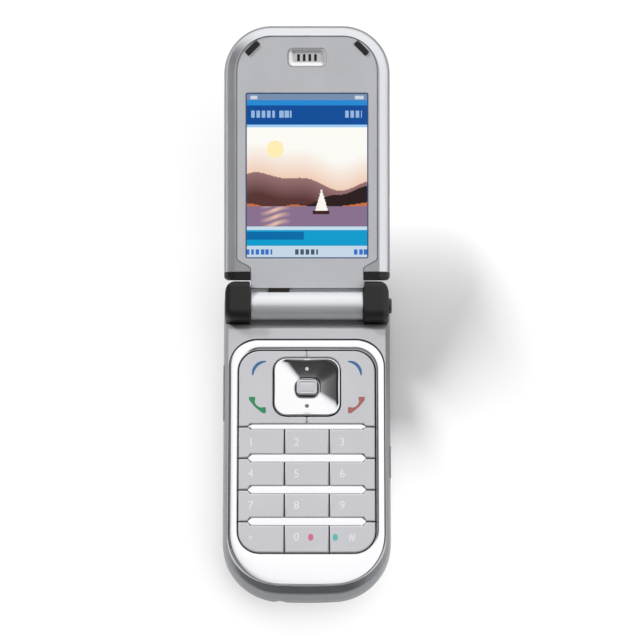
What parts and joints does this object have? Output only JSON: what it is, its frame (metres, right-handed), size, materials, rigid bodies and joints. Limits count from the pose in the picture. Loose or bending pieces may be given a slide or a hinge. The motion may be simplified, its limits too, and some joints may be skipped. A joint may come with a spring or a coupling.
{
  "type": "flip phone",
  "caption": "Clamshell mobile phone lying open: silver keypad base with bright ring, black hinge ears, lid with colour display.",
  "frame": {"origin": "centre of the base's back, on the surface that the phone lies on", "axes": "+X to the right across the keypad, +Y from the chin towards the lid, +Z out of the keypad side"},
  "size_m": [0.048, 0.1625, 0.0311],
  "materials": {
    "silver_shell": "moulded plastic under metallic silver paint, fine flake, soft gloss",
    "bright_ring": "bright plated plastic",
    "bright_bar": "bright satin plating",
    "silver_key": "silver painted keys, fine satin",
    "clear_silicone": "soft silicone sheet",
    "dome_steel": "pressed and turned steel",
    "circuit_board": "solder-resist green laminate",
    "black_plastic": "black moulded plastic, fine spark texture",
    "black_rubber": "black rubber",
    "microphone_brass": "gold plated can",
    "pale_plastic": "natural moulded plastic",
    "battery_case": "dark wrapped cell with moulded ends",
    "display_glass": "clear window over a lit display",
    "dark_glass": "smoked window",
    "display_stack": "display module in its metal frame",
    "flex_film": "amber polyimide film with copper tracks"
  },
  "bodies": {
    "base": {"rear_shell": "silver_shell", "front_cover": "silver_shell", "keypad_ring": "bright_ring", "row_bars": "bright_bar", "keypad_mat": "clear_silicone", "key_domes": "dome_steel", "main_board": "circuit_board", "shield_cans": "dome_steel", "battery_contacts": "black_plastic", "charge_socket": "black_plastic", "microphone": "microphone_brass", "loudspeaker": "black_plastic", "vibration_motor": "dome_steel", "antenna": "pale_plastic", "card_holders": "dome_steel", "battery": "battery_case", "left_ear": "black_plastic", "right_ear": "black_plastic", "hinge_pins": "dome_steel", "base_screws": "dome_steel"},
    "lid": {"hinge_barrel": "silver_shell", "hinge_unit": "dome_steel", "hinge_flex": "flex_film", "lid_frame": "silver_shell", "inner_panel": "silver_shell", "display_window": "display_glass", "display_module": "display_stack", "earpiece_grille": "black_plastic", "earpiece_speaker": "black_plastic", "lid_bumpers": "black_rubber", "lid_corner_caps": "black_plastic", "lid_board": "circuit_board", "lid_cover": "silver_shell", "outer_window": "dark_glass", "outer_display": "display_stack", "camera_ring": "bright_bar", "camera_lens": "dark_glass", "camera_module": "black_plastic", "lid_screws": "dome_steel"},
    "key_1": {"key_1": "silver_key"},
    "key_2": {"key_2": "silver_key"},
    "key_3": {"key_3": "silver_key"},
    "key_4": {"key_4": "silver_key"},
    "key_5": {"key_5": "silver_key"},
    "key_6": {"key_6": "silver_key"},
    "key_7": {"key_7": "silver_key"},
    "key_8": {"key_8": "silver_key"},
    "key_9": {"key_9": "silver_key"},
    "key_star": {"key_star": "silver_key"},
    "key_0": {"key_0": "silver_key"},
    "key_hash": {"key_hash": "silver_key"},
    "left_function_key": {"left_function_key": "silver_key"},
    "right_function_key": {"right_function_key": "silver_key"},
    "nav_gimbal": {"nav_gimbal": "black_rubber"},
    "nav_pad": {"nav_pad": "bright_bar"},
    "select_key": {"select_key": "silver_key"},
    "open_button": {"open_button": "black_plastic"},
    "volume_key": {"volume_key": "silver_key"},
    "camera_key": {"camera_key": "silver_key"},
    "battery_cover": {"battery_cover": "silver_shell"}
  },
  "joints": [
    {"name": "lid_hinge", "type": "hinge", "parent": "base", "child": "lid", "pos_m": [0, 0.03865, 0.01135], "axis": [1, 0, 0], "range_deg": [0, 165]},
    {"name": "key_1_press", "type": "slide", "parent": "base", "child": "key_1", "axis": [0, 0, -1], "range_m": [0, 0.0004], "stiffness_N_per_m": 400},
    {"name": "key_2_press", "type": "slide", "parent": "base", "child": "key_2", "axis": [0, 0, -1], "range_m": [0, 0.0004], "stiffness_N_per_m": 400},
    {"name": "key_3_press", "type": "slide", "parent": "base", "child": "key_3", "axis": [0, 0, -1], "range_m": [0, 0.0004], "stiffness_N_per_m": 400},
    {"name": "key_4_press", "type": "slide", "parent": "base", "child": "key_4", "axis": [0, 0, -1], "range_m": [0, 0.0004], "stiffness_N_per_m": 400},
    {"name": "key_5_press", "type": "slide", "parent": "base", "child": "key_5", "axis": [0, 0, -1], "range_m": [0, 0.0004], "stiffness_N_per_m": 400},
    {"name": "key_6_press", "type": "slide", "parent": "base", "child": "key_6", "axis": [0, 0, -1], "range_m": [0, 0.0004], "stiffness_N_per_m": 400},
    {"name": "key_7_press", "type": "slide", "parent": "base", "child": "key_7", "axis": [0, 0, -1], "range_m": [0, 0.0004], "stiffness_N_per_m": 400},
    {"name": "key_8_press", "type": "slide", "parent": "base", "child": "key_8", "axis": [0, 0, -1], "range_m": [0, 0.0004], "stiffness_N_per_m": 400},
    {"name": "key_9_press", "type": "slide", "parent": "base", "child": "key_9", "axis": [0, 0, -1], "range_m": [0, 0.0004], "stiffness_N_per_m": 400},
    {"name": "key_star_press", "type": "slide", "parent": "base", "child": "key_star", "axis": [0, 0, -1], "range_m": [0, 0.0004], "stiffness_N_per_m": 400},
    {"name": "key_0_press", "type": "slide", "parent": "base", "child": "key_0", "axis": [0, 0, -1], "range_m": [0, 0.0004], "stiffness_N_per_m": 400},
    {"name": "key_hash_press", "type": "slide", "parent": "base", "child": "key_hash", "axis": [0, 0, -1], "range_m": [0, 0.0004], "stiffness_N_per_m": 400},
    {"name": "left_function_rock", "type": "hinge", "parent": "base", "child": "left_function_key", "pos_m": [-0.0145, 0.0151, 0.0089], "axis": [1, 0, 0], "range_deg": [-1.8, 1.8], "stiffness_Nm_per_rad": 0.15},
    {"name": "right_function_rock", "type": "hinge", "parent": "base", "child": "right_function_key", "pos_m": [0.0145, 0.0151, 0.0089], "axis": [1, 0, 0], "range_deg": [-1.8, 1.8], "stiffness_Nm_per_rad": 0.15},
    {"name": "nav_tilt_up_down", "type": "hinge", "parent": "base", "child": "nav_gimbal", "pos_m": [0, 0.0151, 0.00875], "axis": [1, 0, 0], "range_deg": [-2, 2], "stiffness_Nm_per_rad": 0.15},
    {"name": "nav_tilt_left_right", "type": "hinge", "parent": "nav_gimbal", "child": "nav_pad", "pos_m": [0, 0.0151, 0.00875], "axis": [0, 1, 0], "range_deg": [-2, 2], "stiffness_Nm_per_rad": 0.15},
    {"name": "select_press", "type": "slide", "parent": "nav_pad", "child": "select_key", "axis": [0, 0, -1], "range_m": [0, 0.0004], "stiffness_N_per_m": 400},
    {"name": "open_button_press", "type": "slide", "parent": "base", "child": "open_button", "axis": [-1, 0, 0], "range_m": [0, 0.0008], "stiffness_N_per_m": 400},
    {"name": "volume_rock", "type": "hinge", "parent": "base", "child": "volume_key", "pos_m": [-0.0226, 0.014, 0.0075], "axis": [0, 0, 1], "range_deg": [-2, 2], "stiffness_Nm_per_rad": 0.15},
    {"name": "camera_key_press", "type": "slide", "parent": "base", "child": "camera_key", "axis": [-1, 0, 0], "range_m": [0, 0.0004], "stiffness_N_per_m": 400},
    {"name": "battery_cover_slide", "type": "slide", "parent": "base", "child": "battery_cover", "axis": [0, -1, 0], "range_m": [0, 0.008]}
  ]
}
